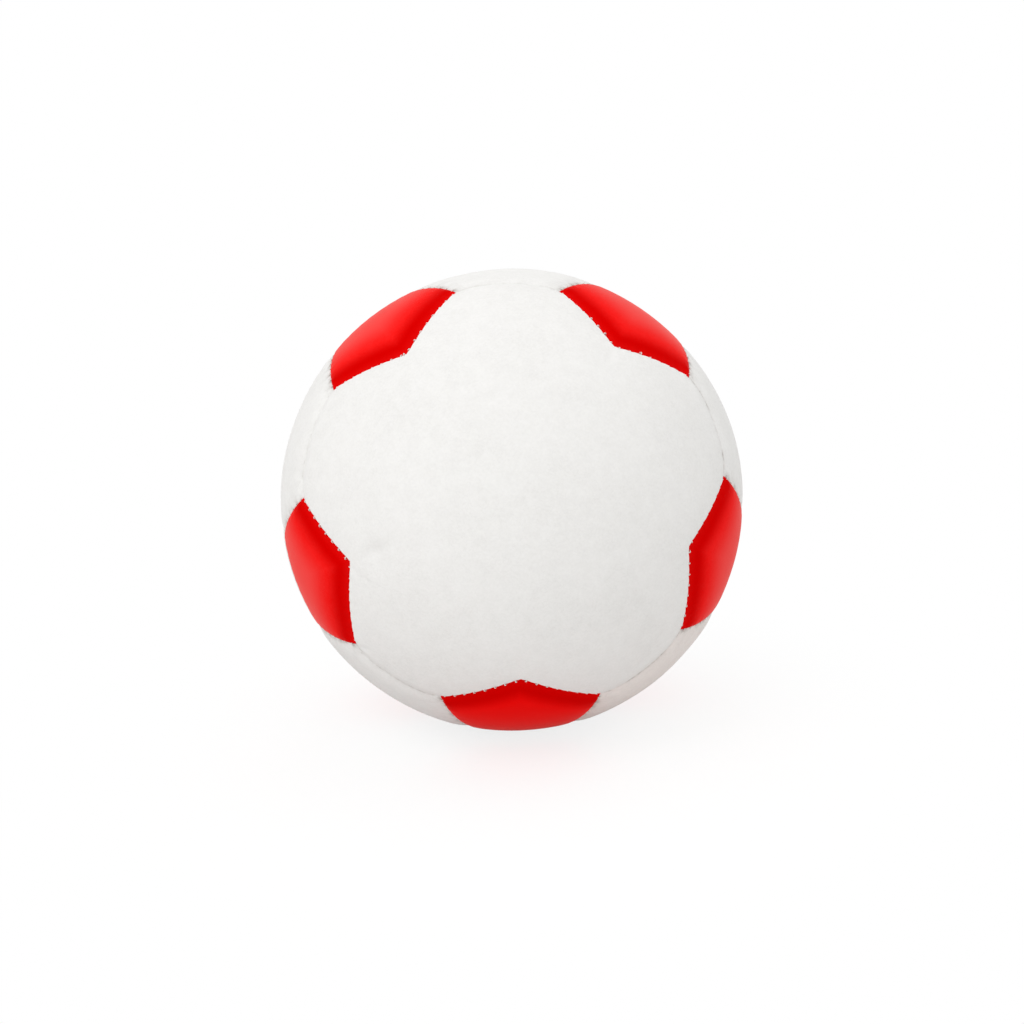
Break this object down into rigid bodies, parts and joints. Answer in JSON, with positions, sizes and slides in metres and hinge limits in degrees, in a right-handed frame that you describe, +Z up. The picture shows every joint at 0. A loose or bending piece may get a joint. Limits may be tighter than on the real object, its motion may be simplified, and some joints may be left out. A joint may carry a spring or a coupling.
{
  "type": "mini soccer ball",
  "caption": "Small stuffed soccer ball sewn from white and red vinyl panels, with a large white panel at the front and the back and a pressed-flat patch to rest on.",
  "frame": {"origin": "the middle of the flat patch that the ball rests on, on the ground", "axes": "+Z up; the large front panel faces -Y and tips up by 10.8 degrees; +X to the right as seen from the front"},
  "size_m": [0.0998, 0.1014, 0.1011],
  "materials": {
    "white_vinyl": "satin",
    "red_vinyl": "satin",
    "white_thread": "matte",
    "polyester_fibre": "matte"
  },
  "bodies": {
    "root": {"front_large_panel": "white_vinyl", "front_red_pentagon_1": "red_vinyl", "front_red_pentagon_2": "red_vinyl", "front_red_pentagon_3": "red_vinyl", "front_red_pentagon_4": "red_vinyl", "front_red_pentagon_5": "red_vinyl", "front_white_hexagon_1": "white_vinyl", "front_white_hexagon_2": "white_vinyl", "front_white_hexagon_3": "white_vinyl", "front_white_hexagon_4": "white_vinyl", "front_white_hexagon_5": "white_vinyl", "back_large_panel": "white_vinyl", "back_red_pentagon_1": "red_vinyl", "back_red_pentagon_2": "red_vinyl", "back_red_pentagon_3": "red_vinyl", "back_red_pentagon_4": "red_vinyl", "back_red_pentagon_5": "red_vinyl", "back_white_hexagon_1": "white_vinyl", "back_white_hexagon_2": "white_vinyl", "back_white_hexagon_3": "white_vinyl", "back_white_hexagon_4": "white_vinyl", "back_white_hexagon_5": "white_vinyl", "front_panel_seam_thread": "white_thread", "front_pentagon_1_seam_thread": "white_thread", "front_pentagon_2_seam_thread": "white_thread", "front_pentagon_3_seam_thread": "white_thread", "front_pentagon_4_seam_thread": "white_thread", "front_pentagon_5_seam_thread": "white_thread", "back_panel_seam_thread": "white_thread", "back_pentagon_1_seam_thread": "white_thread", "back_pentagon_2_seam_thread": "white_thread", "back_pentagon_3_seam_thread": "white_thread", "back_pentagon_4_seam_thread": "white_thread", "back_pentagon_5_seam_thread": "white_thread", "belt_seam_thread_1": "white_thread", "belt_seam_thread_2": "white_thread", "belt_seam_thread_3": "white_thread", "belt_seam_thread_4": "white_thread", "belt_seam_thread_5": "white_thread", "belt_seam_thread_6": "white_thread", "belt_seam_thread_7": "white_thread", "belt_seam_thread_8": "white_thread", "belt_seam_thread_9": "white_thread", "closing_seam_thread": "white_thread", "fibre_stuffing": "polyester_fibre"}
  },
  "joints": []
}
